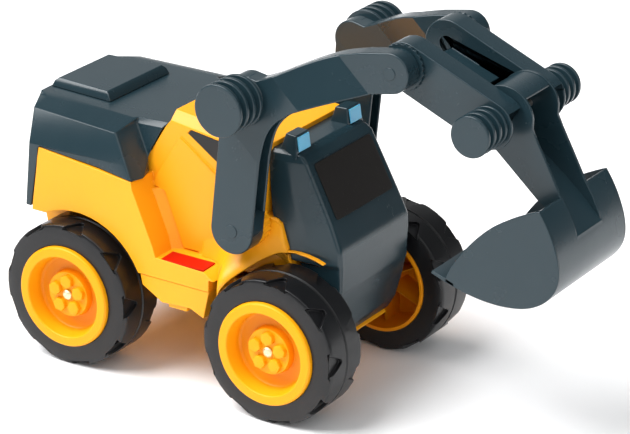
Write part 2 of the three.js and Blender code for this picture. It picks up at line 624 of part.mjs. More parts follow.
// Ribbed grip: a stem, a neck and four discs; local +Y points outward from the arm.
function gripSolid(radius, length, stemRadius, stemLength, boreRadius) {
  const neck = radius - 6;
  const pitch = (length - 3.4) / 3;
  const profile = [[boreRadius, -stemLength], [stemRadius, -stemLength], [stemRadius, 0]];
  for (let i = 0; i < 4; i += 1) {
    const y = i * pitch;
    profile.push([radius, y], [radius, y + 3.4]);
    if (i < 3) {
      profile.push([neck, y + 3.4], [neck, y + pitch]);
    }
  }
  profile.push([0, length]);
  if (boreRadius > 0) {
    profile.push([0, 12], [boreRadius, 12], [boreRadius, -stemLength]);
  }
  return solid(new THREE.LatheGeometry(profile.map(([r, y]) => new THREE.Vector2(r, y)), 18));
}

function addBoom() {
  addPair('boom_arm', boomArm(), slate);
  const grip = gripSolid(GRIP_RADIUS.elbow, ELBOW_CAP - 90 - GAP, 8, 12, 0);
  addPair('elbow_grip', moved(mirrored(grip), ELBOW[0], -90 - GAP, ELBOW[1]), slate);
  addPair('boom_ratchet', ratchet(BOOM_PIVOT, 19.5, PIN_RADIUS + GAP, -73 + GAP, -62.8, 24), yellow);
  addPair('boom_pin', crossBar(BOOM_PIVOT, PIN_RADIUS, -90.6, -50, 20), slate);
  addPair('dipper_pin', crossBar(BOOM_TIP, PIN_RADIUS - 0.5, -62.6, -25, 20), slate);
  const tipRing = ratchet(BOOM_TIP, 19, PIN_RADIUS - 0.5 + GAP, -45 + GAP, -DIPPER_HALF - GAP, 24);
  addPair('dipper_ratchet', tipRing, slate);
}

// ---- dipper ----------------------------------------------------------------------
const DIPPER_ROOT_RADIUS = 19;
const DIPPER_END_RADIUS = 19;

function dipperOutline(shrink) {
  const root = arc(BOOM_TIP, DIPPER_ROOT_RADIUS - shrink, 67, 247, 12);
  const end = arc(BUCKET_PIVOT, DIPPER_END_RADIUS - shrink, -113, 67, 12);
  return [...root, ...end];
}

function dipperSolid() {
  const inner = DIPPER_HALF - DIPPER_BAR;
  const bar = plate(dipperOutline(0), -DIPPER_HALF, -inner);
  const hollow = plate([[300, 281], [312, 250], [380, 190], [400, 270], [357, 272], [344, 272]],
    -DIPPER_HALF + 2.6, -inner + 2.6);
  const web = [[270, 287], [290, 279], [315, 270], [318, 274], [292, 283], [271, 291]];
  const brace = [[286, 266], [318, 252], [320, 256], [288, 270.5]];
  const joined = union(bothSides(cut(bar, hollow)), plate(web, -inner - 1, inner + 1),
    plate(brace, -inner - 1, inner + 1));
  return cut(joined, crossBar(BOOM_TIP, PIN_RADIUS - 0.5 + GAP, -60, 60, 20),
    crossBar(BUCKET_PIVOT, ROD_RADIUS + GAP, -60, 60, 16));
}

function addDipper() {
  add('dipper', dipperSolid(), slate);
  const grip = gripSolid(GRIP_RADIUS.dipper, DIPPER_CAP - DIPPER_HALF - GAP, 8, 0.01, ROD_RADIUS + GAP);
  addPair('dipper_grip', moved(mirrored(grip), BUCKET_PIVOT[0], -DIPPER_HALF - GAP, BUCKET_PIVOT[1]), slate);
  add('bucket_rod', crossBar(BUCKET_PIVOT, ROD_RADIUS, -53, 53, 16), steel);
}

// ---- bucket ----------------------------------------------------------------------
const BUCKET_BACK = [[396.5, 208.2], [403.2, 198], [409.4, 185.5], [414, 172], [415.6, 158.5], [412, 146.5],
  [403, 135.5], [389, 128], [372, 125], [356, 125], [338, 127.5], [319, 132.8]];
const BUCKET_BACK_IN = [[393.4, 206], [400.5, 196], [406.5, 184.2], [411, 171], [412.5, 159], [409.3, 148.2],
  [401.2, 138.2], [388, 131.2], [372, 128.2], [356, 128.1], [338.5, 130.6], [319.5, 136]];
const BUCKET_RIM = [[335, 162.5], [356, 184.5], [374, 197], [388, 204.5]];
// The bucket's arm is a channel whose floor runs into the bucket's back and fades out there.
const YOKE_FLOOR = [[338, 242.5], [358.5, 226], [380, 209.8], [397, 195.4], [412.6, 180.6]];
const YOKE_FRONT = [[411.8, 178.4], [409.4, 185.5], [403.2, 198], [396.5, 208.2]];

function bucketSolid() {
  const side = [...BUCKET_BACK, ...BUCKET_RIM];
  const shell = plate(side, -BUCKET_HALF, BUCKET_HALF);
  const room = plate([...BUCKET_BACK_IN, [290, 150], [340, 240], [380, 232]],
    -BUCKET_HALF + 2.6, BUCKET_HALF - 2.6);
  const lip = plate([[327, 130.7], [327, 133.4], [319.4, 136], [308, 139.4], [307, 137.2], [319, 132.8]],
    -BUCKET_HALF, BUCKET_HALF);
  const wall = YOKE_HALF - 2.6;
  const yoke = [...arc(BUCKET_PIVOT, 25, 20, 245, 14), [379, 200.5], [395, 192], [409, 178], ...YOKE_FRONT,
    [371, 256]];
  const channel = [...arc(BUCKET_PIVOT, 22.4, 45, 243, 12), ...YOKE_FLOOR, [440, 180], [420, 260],
    [372, 290]];
  const under = [...YOKE_FLOOR.map(([x, z]) => [x - 1.7, z - 2]), [408, 160], [330, 225]];
  const arm = cut(plate(yoke, -YOKE_HALF, YOKE_HALF), plate(under, -wall, wall));
  const bore = crossBar(BUCKET_PIVOT, ROD_RADIUS + GAP, -30, 30, 16);
  return cut(union(cut(shell, room), lip, arm), plate(channel, -wall, wall), bore);
}

// ---- assembly ----------------------------------------------------------------------
add('chassis_pan', panSolid(), yellow);
add('body_shell', shellSolid(), yellow);
add('rear_hood', hoodSolid(), slate);
add('engine_cover', engineCover(), slate);
add('front_cowl', cowlSolid(), slate);
add('front_panel', frontPanel(), blackFilm);
addPair('lamp_lens', mirrored(lens()), skyBlue);
addPair('sill_reflector', mirrored(reflector()), red);
addPair('side_window', windowShape(0, -CAB_HALF + 0.2, -CAB_HALF + 1.3), smoke);
addWheels();
SCREWS.forEach((place, index) => add(`chassis_screw_${index + 1}`, screwSolid(place), steel));
addBoom();
addDipper();
add('bucket', bucketSolid(), slate);

export default model;
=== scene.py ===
import json
import math

import bmesh
import bpy
from mathutils import Matrix, Vector


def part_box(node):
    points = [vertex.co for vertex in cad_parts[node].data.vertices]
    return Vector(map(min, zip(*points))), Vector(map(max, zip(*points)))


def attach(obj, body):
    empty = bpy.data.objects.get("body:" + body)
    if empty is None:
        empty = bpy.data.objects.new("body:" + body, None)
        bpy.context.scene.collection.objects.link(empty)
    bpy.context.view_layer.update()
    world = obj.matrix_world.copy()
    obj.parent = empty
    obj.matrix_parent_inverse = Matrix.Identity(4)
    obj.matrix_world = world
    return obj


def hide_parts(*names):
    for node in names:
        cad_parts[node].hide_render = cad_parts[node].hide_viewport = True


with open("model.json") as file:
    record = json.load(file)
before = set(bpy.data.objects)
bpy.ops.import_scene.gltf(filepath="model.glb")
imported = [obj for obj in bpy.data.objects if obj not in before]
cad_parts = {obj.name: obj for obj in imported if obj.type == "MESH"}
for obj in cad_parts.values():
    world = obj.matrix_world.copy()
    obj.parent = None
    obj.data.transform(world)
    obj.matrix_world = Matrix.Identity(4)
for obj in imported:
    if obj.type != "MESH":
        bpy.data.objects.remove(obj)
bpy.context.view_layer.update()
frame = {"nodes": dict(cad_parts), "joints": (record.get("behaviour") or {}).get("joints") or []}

MM = 0.001
NODES = frame["nodes"]
JOINTS = {joint["name"]: joint["pos_m"] for joint in frame["joints"]}
REAR_AXLE_X = JOINTS["rear_wheels_roll"][0]
SIDES = {"right": -1.0, "left": 1.0}

# ---- camera and room ---------------------------------------------------------
CAMERA_AZIMUTH = math.radians(32.25473695)
CAMERA_ELEVATION = math.radians(22.55493269)
CAMERA_ROLL = math.radians(0.89789064)
CAMERA_DISTANCE = 2.450882
CAMERA_TARGET = Vector((-0.00579, 0.0, 0.132008))
CAMERA_LENS_MM = 176.735
CAMERA_CLIP = (0.05, 100.0)
SENSOR_MM = 36.0
FLOOR_SIZE = 16.0
WORLD_COLOR = (0.93, 0.96, 1.0, 1.0)
WORLD_STRENGTH = 0.12
SUNS = [  # name, direction to the light, strength, width of the light in degrees
    ("key", (-0.55, -0.45, 1.0), 5.1, 50.0),
    ("fill", (0.75, -0.45, 0.9), 1.6, 80.0),
]
PANEL_LIGHT_PLACE = Vector((-2.2, 3.6, 1.6))
PANEL_LIGHT_TARGET = Vector((0.0, 0.0, 0.1))
PANEL_LIGHT_SIZE = (5.0, 2.6)
PANEL_LIGHT_WATTS = 17.0


def add_camera():
    """Camera at the calibrated angle; its axes are written straight into the matrix."""
    az, el, roll = CAMERA_AZIMUTH, CAMERA_ELEVATION, CAMERA_ROLL
    back = Vector((math.sin(az) * math.cos(el), -math.cos(az) * math.cos(el), math.sin(el)))
    right = Vector((math.cos(az), math.sin(az), 0.0))
    up = back.cross(right)
    x_axis = right * math.cos(roll) + up * math.sin(roll)
    y_axis = up * math.cos(roll) - right * math.sin(roll)
    place = CAMERA_TARGET + back * CAMERA_DISTANCE
    data = bpy.data.cameras.new("camera")
    data.lens = CAMERA_LENS_MM
    data.sensor_width = SENSOR_MM
    data.sensor_fit = "HORIZONTAL"
    data.clip_start, data.clip_end = CAMERA_CLIP
    camera = bpy.data.objects.new("camera", data)
    bpy.context.scene.collection.objects.link(camera)
    rows = [(x_axis[i], y_axis[i], back[i], place[i]) for i in range(3)]
    camera.matrix_world = Matrix(rows + [(0.0, 0.0, 0.0, 1.0)])
    bpy.context.scene.camera = camera


def add_light(name, data, ray):
    """A light that shines along ray."""
    light = bpy.data.objects.new(name, data)
    light.rotation_euler = ray.to_track_quat("-Z", "Y").to_euler()
    bpy.context.scene.collection.objects.link(light)
    return light


def add_suns():
    """Broad key from behind on the near side, weaker fill from the front."""
    for name, toward, strength, width in SUNS:
        data = bpy.data.lights.new(name, "SUN")
        data.energy = strength
        data.angle = math.radians(width)
        add_light(name, data, -Vector(toward))


def add_panel_light():
    """Large soft panel beyond the far side, toward the back."""
    data = bpy.data.lights.new("back_panel", "AREA")
    data.shape = "RECTANGLE"
    data.size, data.size_y = PANEL_LIGHT_SIZE
    data.energy = PANEL_LIGHT_WATTS
    light = add_light("back_panel", data, PANEL_LIGHT_TARGET - PANEL_LIGHT_PLACE)
    light.location = PANEL_LIGHT_PLACE


def add_world():
    """Even, faintly blue light from all round."""
    world = bpy.data.worlds.new("studio")
    bpy.context.scene.world = world
    world.use_nodes = True
    background = world.node_tree.nodes["Background"]
    background.inputs["Color"].default_value = WORLD_COLOR
    background.inputs["Strength"].default_value = WORLD_STRENGTH


# ---- materials -----------------------------------------------------------------
MIX_FIRST, MIX_SECOND, MIX_RESULT = 6, 7, 2  # places of the colour sockets on a Mix node


class Shader:
    """A small helper that builds one node material."""

    def __init__(self, name):
        self.material = bpy.data.materials.new(name)
        self.material.use_nodes = True
        self.tree = self.material.node_tree
        self.surface = self.tree.nodes["Principled BSDF"]
        self.coordinates = self.tree.nodes.new("ShaderNodeTexCoord").outputs["Object"]

    def feed(self, socket, value):
        if isinstance(value, bpy.types.NodeSocket):
            self.tree.links.new(value, socket)
        else:
            socket.default_value = value

    def node(self, kind, **inputs):
        node = self.tree.nodes.new(kind)
        for key, value in inputs.items():
            self.feed(node.inputs[key.replace("_", " ")], value)
        return node

    def set(self, **inputs):
        for key, value in inputs.items():
            self.feed(self.surface.inputs[key.replace("_", " ")], value)

    def noise(self, scale, detail, stretch=(1.0, 1.0, 1.0), roughness=0.5):
        mapping = self.node("ShaderNodeMapping", Vector=self.coordinates, Scale=stretch)
        noise = self.node("ShaderNodeTexNoise", Vector=mapping.outputs["Vector"], Scale=scale,
                          Detail=detail, Roughness=roughness)
        return noise.outputs["Fac"]

    def ramp(self, factor, low, high):
        """Black below low, white above high."""
        node = self.node("ShaderNodeValToRGB", Fac=factor)
        node.color_ramp.elements[0].position = low
        node.color_ramp.elements[1].position = high
        return node.outputs["Color"]

    def mix(self, factor, first, second):
        node = self.tree.nodes.new("ShaderNodeMix")
        node.data_type = "RGBA"
        self.feed(node.inputs["Factor"], factor)
        self.feed(node.inputs[MIX_FIRST], first)
        self.feed(node.inputs[MIX_SECOND], second)
        return node.outputs[MIX_RESULT]

    def range(self, value, low, high):
        return self.node("ShaderNodeMapRange", Value=value, To_Min=low, To_Max=high).outputs["Result"]

    def bump(self, height, distance, under=None):
        node = self.node("ShaderNodeBump", Height=height, Distance=distance, Strength=1.0)
        if under is not None:
            self.feed(node.inputs["Normal"], under)
        return node.outputs["Normal"]


def rgba(color, factor=1.0):
    return (color[0] * factor, color[1] * factor, color[2] * factor, 1.0)


def paint_recess_shade(shader, tone, recess_shade):
    """Painted shade: a darker colour near the middle of the toy, for the floor of a recess that lies in
    shade.
    recess_shade is (distance across up to which that colour is full, distance where it ends, the colour)."""
    split = shader.node("ShaderNodeSeparateXYZ", Vector=shader.coordinates)
    across = shader.node("ShaderNodeMath", Value=split.outputs["Y"])
    across.operation = "ABSOLUTE"
    full, end, color = recess_shade
    depth = shader.node("ShaderNodeMapRange", Value=across.outputs["Value"], From_Min=full, From_Max=end)
    return shader.mix(depth.outputs["Result"], rgba(color), tone)


def moulded_plastic(name, color, deep, rough, grain=0.000018, subsurface=0.0, specular=0.5, recess_shade=None):
    """Injection-moulded plastic: soft flow clouding, fine orange peel, hairline scuffs.
    deep is the darker tone of the clouding, grain the depth of the peel in metres;
    recess_shade, when given, is painted shade that darkens the floor of a recess."""
    shader = Shader(name)
    cloud = shader.ramp(shader.noise(14.0, detail=4.0, stretch=(1.0, 1.0, 0.6)), 0.35, 0.68)
    speck = shader.ramp(shader.noise(900.0, detail=2.0), 0.62, 0.8)
    tone = shader.mix(cloud, rgba(deep), rgba(color))
    tone = shader.mix(shader.range(speck, 0.0, 0.10), tone, rgba(color, 1.12))
    # Painted shade: a darker colour near the centre line, for the shaded floor of a recess.
    if recess_shade:
        tone = paint_recess_shade(shader, tone, recess_shade)
    scuffs = shader.noise(38.0, detail=6.0, stretch=(1.0, 1.6, 1.2), roughness=0.75)
    worn = shader.range(shader.ramp(scuffs, 0.62, 0.80), 0.0, 0.35)
    gloss = shader.range(shader.noise(30.0, detail=5.0), rough - 0.05, rough + 0.07)
    gloss = shader.mix(worn, gloss, rgba((rough + 0.14,) * 3))
    peel = shader.bump(shader.noise(260.0, detail=3.0), grain)
    wave = shader.bump(shader.noise(22.0, detail=2.0), grain * 9.0, under=peel)
    shader.set(Base_Color=tone, Roughness=gloss, Normal=wave, Specular_IOR_Level=specular)
    if subsurface:
        shader.set(Subsurface_Weight=subsurface, Subsurface_Radius=(1.0, 0.45, 0.12), Subsurface_Scale=0.003)
    return shader.material


def tyre_plastic():
    """Blow-moulded soft plastic, satin charcoal with a fine grain and dusty high spots."""
    shader = Shader("tyre_charcoal")
    cloud = shader.ramp(shader.noise(20.0, detail=5.0), 0.35, 0.7)
    dust = shader.ramp(shader.noise(120.0, detail=6.0, roughness=0.65), 0.52, 0.75)
    tone = shader.mix(cloud, rgba((0.0036, 0.0038, 0.0045)), rgba((0.0064, 0.0066, 0.0078)))
    tone = shader.mix(shader.range(dust, 0.0, 0.12), tone, rgba((0.03, 0.03, 0.032)))
    gloss = shader.range(shader.noise(45.0, detail=5.0), 0.27, 0.40)
    grain = shader.bump(shader.noise(1100.0, detail=3.0), 0.00005)
    wave = shader.bump(shader.noise(40.0, detail=3.0), 0.00025, under=grain)
    shader.set(Base_Color=tone, Roughness=gloss, Normal=wave, Specular_IOR_Level=0.40)
    return shader.material


def steel(name, color, bright):
    """Turned metal with fine streaks between two tones."""
    shader = Shader(name)
    streaks = shader.noise(300.0, detail=3.0, stretch=(1.0, 6.0, 1.0))
    tone = shader.mix(streaks, rgba(color), rgba(bright))
    gloss = shader.range(shader.noise(200.0, detail=4.0), 0.38, 0.55)
    shader.set(Base_Color=tone, Roughness=gloss, Normal=shader.bump(streaks, 0.00002), Metallic=1.0)
    return shader.material


def film(name, color, rough, specks):
    """Printed film label: near-flat ink with dust specks and a faint ripple."""
    shader = Shader(name)
    tone = shader.mix(shader.noise(25.0, detail=4.0), rgba(color, 0.8), rgba(color, 1.2))
    dots = shader.ramp(shader.noise(700.0, detail=1.0), 0.70, 0.78)
    tone = shader.mix(shader.range(dots, 0.0, specks), tone, rgba((0.25, 0.24, 0.23)))
    gloss = shader.range(shader.noise(80.0, detail=3.0), rough - 0.05, rough + 0.08)
    ripple = shader.bump(shader.noise(60.0, detail=2.0), 0.00006)
    shader.set(Base_Color=tone, Roughness=gloss, Normal=ripple, Specular_IOR_Level=0.3)
    return shader.material


def floor_paper():
    """White backdrop paper."""
    shader = Shader("floor_paper")
    cloud = shader.noise(3.0, detail=4.0)
    tone = shader.mix(cloud, rgba((0.965, 0.965, 0.972)), rgba((0.985, 0.985, 0.985)))
    tooth = shader.bump(shader.noise(400.0, detail=2.0), 0.00003)
    shader.set(Base_Color=tone, Roughness=shader.range(cloud, 0.55, 0.65), Normal=tooth,
               Specular_IOR_Level=0.2)
    return shader.material


RIM_PAINTED_SHADE = (0.0962, 0.1012, (0.76, 0.262, 0.002))  # painted shade: the floor of the dish is a deeper yellow, for the shade the barrel casts into it
MATERIALS = {
    "yellow_plastic": moulded_plastic("yellow_moulded", (0.92, 0.380, 0.006), (0.90, 0.362, 0.004), 0.40,
                                      subsurface=0.05, specular=0.38),
    # The rims carry painted shade on the floor of the dish.
    "rim_plastic": moulded_plastic("yellow_rim", (0.89, 0.360, 0.003), (0.86, 0.340, 0.002), 0.42,
                                   specular=0.22, recess_shade=RIM_PAINTED_SHADE),
    "slate_plastic": moulded_plastic("slate_moulded", (0.0135, 0.031, 0.040), (0.011, 0.027, 0.0355), 0.25,
                                     grain=0.000022, specular=0.44),
    "tyre": tyre_plastic(),
    "axle_steel": steel("axle_steel_turned", (0.30, 0.29, 0.28), (0.42, 0.41, 0.40)),
    "cap_steel": steel("cap_steel_plated", (0.74, 0.66, 0.40), (0.92, 0.84, 0.56)),
    "lens_plastic": moulded_plastic("lens_blue", (0.09, 0.46, 0.70), (0.08, 0.42, 0.66), 0.34,
                                    subsurface=0.1),
    "reflector_plastic": moulded_plastic("reflector_red", (0.50, 0.0050, 0.0006), (0.46, 0.004, 0.0005),
                                         0.45, specular=0.12),
    "panel_film": film("panel_black", (0.0062, 0.0042, 0.0030), 0.42, 0.12),
    "window_film": film("window_smoke", (0.017, 0.0165, 0.016), 0.36, 0.05),
    "bush_plastic": moulded_plastic("bush_black", (0.012, 0.012, 0.013), (0.009, 0.009, 0.010), 0.4),
}


# ---- modifiers ---------------------------------------------------------------------
HARD_EDGE = math.radians(30.0)  # edges that turn more than this are rounded
FLAT_ENOUGH = math.radians(2.0)  # facets that turn less than this are joined
SOFT_SEGMENTS = 3
NORMAL_WEIGHT = 80
WELD_MM = 0.02
SOFT_EDGES = {  # mm of rounding on the carried-over solids, the same on both sides
    "body_shell": 0.55, "chassis_pan": 0.8, "rear_hood": 1.1, "engine_cover": 0.6, "dipper": 0.9,
    "lamp_lens": 0.35, "side_window": 0.15, "boom_pin": 0.5, "dipper_pin": 0.5,
    "rear_tyre": 0.35, "front_tyre": 0.35,
}
SOFT_REST = 0.25
WELD_EDGES = {"rear_hood": 0.3}  # mm, where the solid has slivers to close


def add_bevel(obj, width_mm, segments):
    bevel = obj.modifiers.new("edges", "BEVEL")
    bevel.width = width_mm * MM
    bevel.segments = segments
    bevel.limit_method = "ANGLE"
    bevel.angle_limit = HARD_EDGE
    return bevel


def weighted(obj, keep_sharp=False):
    normals = obj.modifiers.new("normals", "WEIGHTED_NORMAL")
    normals.keep_sharp = keep_sharp
    normals.weight = NORMAL_WEIGHT


def smooth_faces(mesh):
    for face in mesh.polygons:
        face.use_smooth = True


def soften(obj, width_mm, weld_mm):
    """Joins the faceted skin, then rounds every hard edge a little as a mould does."""
    smooth_faces(obj.data)
    weld = obj.modifiers.new("weld", "WELD")
    weld.merge_threshold = weld_mm * MM
    flat = obj.modifiers.new("flatten", "DECIMATE")
    flat.decimate_type = "DISSOLVE"
    flat.angle_limit = FLAT_ENOUGH
    add_bevel(obj, width_mm, SOFT_SEGMENTS).use_clamp_overlap = False
    weighted(obj)


def dress_nodes():
    """Gives every carried-over solid its material and soft edges."""
    for name, obj in NODES.items():
        slot = obj.data.materials[0].name.split(".")[0]
        obj.data.materials[0] = MATERIALS[slot]
        kind = name.removesuffix("_left").removesuffix("_right")
        soften(obj, SOFT_EDGES.get(kind, SOFT_REST), WELD_EDGES.get(kind, WELD_MM))


# ---- pieces in mesh code --------------------------------------------------------------
# Outlines are [x, z] and profiles [r, y], in mm, with x measured forward from the rear axle,
# z up from the ground, r from a piece's own cross axis and y outward from the centre line.
MERGE_DISTANCE = 0.000004  # metres
COLLAPSE_DISTANCE = 0.000002  # metres
LEAST_ARC = 0.02  # mm, below which a corner stays sharp
ARC_SHARE = 0.45  # of the shorter side, the most a corner's arc may take
MITRE_COSINE = 0.5  # guards the division at a corner that folds back
MITRE_LIMIT = 1.6  # of the distance, the most a corner moves inward
BROKEN_EDGE = 0.02  # mm


def at(x, y, z):
    """A place in metres from millimetres measured from the rear axle, as the solids are drawn."""
    return (REAR_AXLE_X + x * MM, y * MM, z * MM)


def finish_piece(bm, name, body, slot, replaced=(), material=None):
    """Cleans the mesh, turns its faces outward and makes it a piece that moves with a body."""
    bmesh.ops.remove_doubles(bm, verts=bm.verts, dist=MERGE_DISTANCE)
    bmesh.ops.dissolve_degenerate(bm, edges=bm.edges, dist=COLLAPSE_DISTANCE)
    bmesh.ops.recalc_face_normals(bm, faces=bm.faces)
    mesh = bpy.data.meshes.new(name)
    bm.to_mesh(mesh)
    bm.free()
    mesh.materials.append(MATERIALS[material or slot])
    smooth_faces(mesh)
    piece = bpy.data.objects.new(name, mesh)
    bpy.context.scene.collection.objects.link(piece)
    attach(piece, body)
    if replaced:
        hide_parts(*replaced)
    return piece


def skin(bm, loops):
    """Joins loops of equal length one to the next and closes both ends."""
    for here, there in zip(loops, loops[1:]):
        for i in range(len(here)):
            j = (i + 1) % len(here)
            bm.faces.new((here[i], here[j], there[j], there[i]))
    bm.faces.new(loops[0][::-1])
    bm.faces.new(loops[-1])


def bent(start, corner, end, steps):
    """Points from start to end along a curve that corner pulls outward."""
    shares = [step / steps for step in range(steps + 1)]
    return [start * (1 - t) ** 2 + corner * (2 * t * (1 - t)) + end * t ** 2 for t in shares]


def rounded(profile, radius=0.0, steps=3):
    """A closed profile with its corners turned into small arcs.
    Each point is (r, y) or (r, y, its own radius)."""
    points = []
    count = len(profile)
    for i, here in enumerate(profile):
        own = here[2] if len(here) > 2 else radius
        centre = Vector(here[:2])
        before = Vector(profile[i - 1][:2]) - centre
        after = Vector(profile[(i + 1) % count][:2]) - centre
        reach = min(own, before.length * ARC_SHARE, after.length * ARC_SHARE)
        if reach < LEAST_ARC:
            points.append(tuple(centre))
            continue
        start = centre + before.normalized() * reach
        end = centre + after.normalized() * reach
        points += [tuple(point) for point in bent(start, centre, end, steps)]
    return points


def lathe(bm, profile, steps, centre, sign, turn=0.0):
    """Spins a closed [r, y] profile in mm about the cross axis through centre, in metres."""
    rings = []
    for step in range(steps):
        angle = turn + 2 * math.pi * step / steps
        out, up = math.cos(angle), math.sin(angle)
        rings.append([bm.verts.new((centre[0] + r * MM * out, centre[1] + sign * y * MM,
                                    centre[2] + r * MM * up)) for r, y in profile])
    count = len(profile)
    for step in range(steps):
        here, there = rings[step], rings[(step + 1) % steps]
        for i in range(count):
            j = (i + 1) % count
            bm.faces.new((here[i], here[j], there[j], there[i]))


def arc(centre, radius, start, end, steps):
    """Points on a circle from one angle to another, in degrees."""
    points = []
    for step in range(steps + 1):
        angle = math.radians(start + (end - start) * step / steps)
        points.append((centre[0] + radius * math.cos(angle), centre[1] + radius * math.sin(angle)))
    return points


def curve_through(points, steps=4):
    """Catmull-Rom points from the first to the last of a short run of corners."""
    run = [points[0]] + list(points) + [points[-1]]
    result = []
    for i in range(1, len(run) - 2):
        p0, p1, p2, p3 = (Vector(run[i + k]) for k in (-1, 0, 1, 2))
        for step in range(steps):
            t = step / steps
            place = 0.5 * (2 * p1 + (p2 - p0) * t + (2 * p0 - 5 * p1 + 4 * p2 - p3) * t * t
                           + (3 * p1 - p0 - 3 * p2 + p3) * t ** 3)
            result.append(tuple(place))
    return result + [tuple(points[-1])]


def smooth_value(keys, values, place):
    """Cubic value between keys, with slopes taken from the neighbours."""
    last = len(keys) - 1
    i = max(0, min(last - 1, sum(1 for key in keys if key <= place) - 1))
    span = keys[i + 1] - keys[i]
    t = min(max((place - keys[i]) / span, 0.0), 1.0)
    low, high = max(i - 1, 0), min(i + 2, last)
    slope = (values[i + 1] - values[low]) / (keys[i + 1] - keys[low]) * span
    next_slope = (values[high] - values[i]) / (keys[high] - keys[i]) * span
    return ((2 * t ** 3 - 3 * t ** 2 + 1) * values[i] + (t ** 3 - 2 * t ** 2 + t) * slope
            + (3 * t ** 2 - 2 * t ** 3) * values[i + 1] + (t ** 3 - t ** 2) * next_slope)


def inset(outline, distance):
    """Moves each corner of a counter-clockwise outline inward."""
    if not distance:
        return outline
    moved = []
    count = len(outline)
    for i in range(count):
        here = Vector(outline[i])
        before = (here - Vector(outline[i - 1])).normalized()
        after = (Vector(outline[(i + 1) % count]) - here).normalized()
        first = Vector((-before.y, before.x))
        second = Vector((-after.y, after.x))
        normal = (first + second).normalized()
        reach = min(distance / max(normal.dot(first), MITRE_COSINE), distance * MITRE_LIMIT)
        moved.append(tuple(here + normal * reach))
    return moved


def rounded_plate(bm, outline, y_low, y_high, radius, steps=4):
    """An upright plate with both rims rounded; outline is [x, z] in mm, y in mm."""
    area = sum(a[0] * b[1] - b[0] * a[1] for a, b in zip(outline, outline[1:] + outline[:1]))
    outline = outline if area > 0 else outline[::-1]
    rings = []
    for step in range(steps):
        angle = math.pi / 2 * step / steps
        rings.append((radius * (1 - math.sin(angle)), y_low + radius * (1 - math.cos(angle))))
    rings.append((0.0, y_low + radius))
    rings += [(depth, y_low + y_high - y) for depth, y in reversed(rings)]
    skin(bm, [[bm.verts.new(at(x, y, z)) for x, z in inset(outline, depth)] for depth, y in rings])


def plain_plate(bm, outline, y_low, y_high):
    """An upright plate whose rims are only just broken."""
    rounded_plate(bm, outline, y_low, y_high, BROKEN_EDGE, 1)


# ---- wheels --------------------------------------------------------------------------
# In the wheel profiles y is measured outward from the wheel's middle plane.
TRACK = 83.0  # of that plane from the centre line
WHEEL_STEPS = 96
HUB_FACE = 19.2
RIM_ROUNDING = 0.3
RIM_PROFILE = [
    (3.4, -21.0), (8.0, -21.0, 0.6), (8.0, 11.0), (39.0, 11.0), (39.5, -24.5, 0.5), (42.4, -24.5, 0.5),
    (42.4, 25.4, 0.6), (41.4, 27.0, 1.0), (34.6, 27.2, 0.6), (33.9, 26.3, 0.6), (31.2, 14.0, 1.2),
    (29.4, 12.9, 1.2), (19.9, 12.9, 0.5), (18.8, HUB_FACE, 0.5), (3.4, HUB_FACE, 0.3),
]
STUD_COUNT = 5
STUD_CIRCLE = 11.8
STUD_SIDES = 6
STUD_START = 0.25  # of the angle between two studs
STUD_PROFILE = [
    (0.0, HUB_FACE - 1.0), (6.0, HUB_FACE - 1.0), (6.0, HUB_FACE + 0.1, 0.3),
    (5.7, 22.6, 0.5), (3.2, 23.0, 0.5), (0.0, 23.1),
]
RIB_COUNT = 6
RIB_THICKNESS = 1.8
RIB_OUTLINE = [(7.6, 12.0), (7.6, -18.0), (16.0, -14.0), (39.6, -10.0), (39.6, 12.0)]
CAP_STEPS = 32
CAP_PROFILE = [
    (0.0, 20.4), (3.2, 20.4), (3.2, 19.5), (4.3, 19.5, 0.1), (4.2, 20.8, 0.4),
    (2.6, 21.9, 0.5), (1.6, 22.1, 0.3), (0.9, 21.6, 0.2), (0.0, 21.5),
]


def wheel_middle(end, side):
    """The point on the axle in a wheel's middle plane."""
    axle = JOINTS[f"{end}_wheels_roll"]
    return (axle[0], SIDES[side] * TRACK * MM, axle[2])


def back_rib(bm, centre, sign, angle):
    """A thin upright web between the hub tube and the rim's barrel, on the hidden side."""
    out = Vector((math.cos(angle), 0.0, math.sin(angle)))
    across = Vector((-math.sin(angle), 0.0, math.cos(angle)))
    loops = []
    for offset in (-RIB_THICKNESS / 2, RIB_THICKNESS / 2):
        loop = []
        for r, y in RIB_OUTLINE:
            place = Vector(centre) + (out * r + across * offset) * MM
            place.y = centre[1] + sign * y * MM
            loop.append(bm.verts.new(place))
        loops.append(loop)
    skin(bm, loops)


def rim(end, side):
    """Wheel dish: flat lip, deep floor, raised hub with five six-sided studs, ribbed back."""
    sign = SIDES[side]
    centre = wheel_middle(end, side)
    bm = bmesh.new()
    lathe(bm, rounded(RIM_PROFILE, RIM_ROUNDING), WHEEL_STEPS, centre, sign)
    for i in range(STUD_COUNT):
        angle = (i + STUD_START) / STUD_COUNT * 2 * math.pi
        place = (centre[0] + STUD_CIRCLE * MM * math.cos(angle), centre[1],
                 centre[2] + STUD_CIRCLE * MM * math.sin(angle))
        lathe(bm, rounded(STUD_PROFILE), STUD_SIDES, place, sign, angle)
    for i in range(RIB_COUNT):
        back_rib(bm, centre, sign, 2 * math.pi * (i + 0.5) / RIB_COUNT)
    weighted(finish_piece(bm, f"{end}_rim_{side}_dish", f"{end}_wheels", "yellow_plastic",
                          [f"{end}_rim_{side}"], "rim_plastic"))


def axle_cap(end, side):
    """Domed steel push-on cap with a dimple."""
    bm = bmesh.new()
    lathe(bm, rounded(CAP_PROFILE), CAP_STEPS, wheel_middle(end, side), SIDES[side])
    finish_piece(bm, f"{end}_cap_{side}_domed", f"{end}_wheels", "axle_steel",
                 [f"{end}_axle_cap_{side}"], "cap_steel")


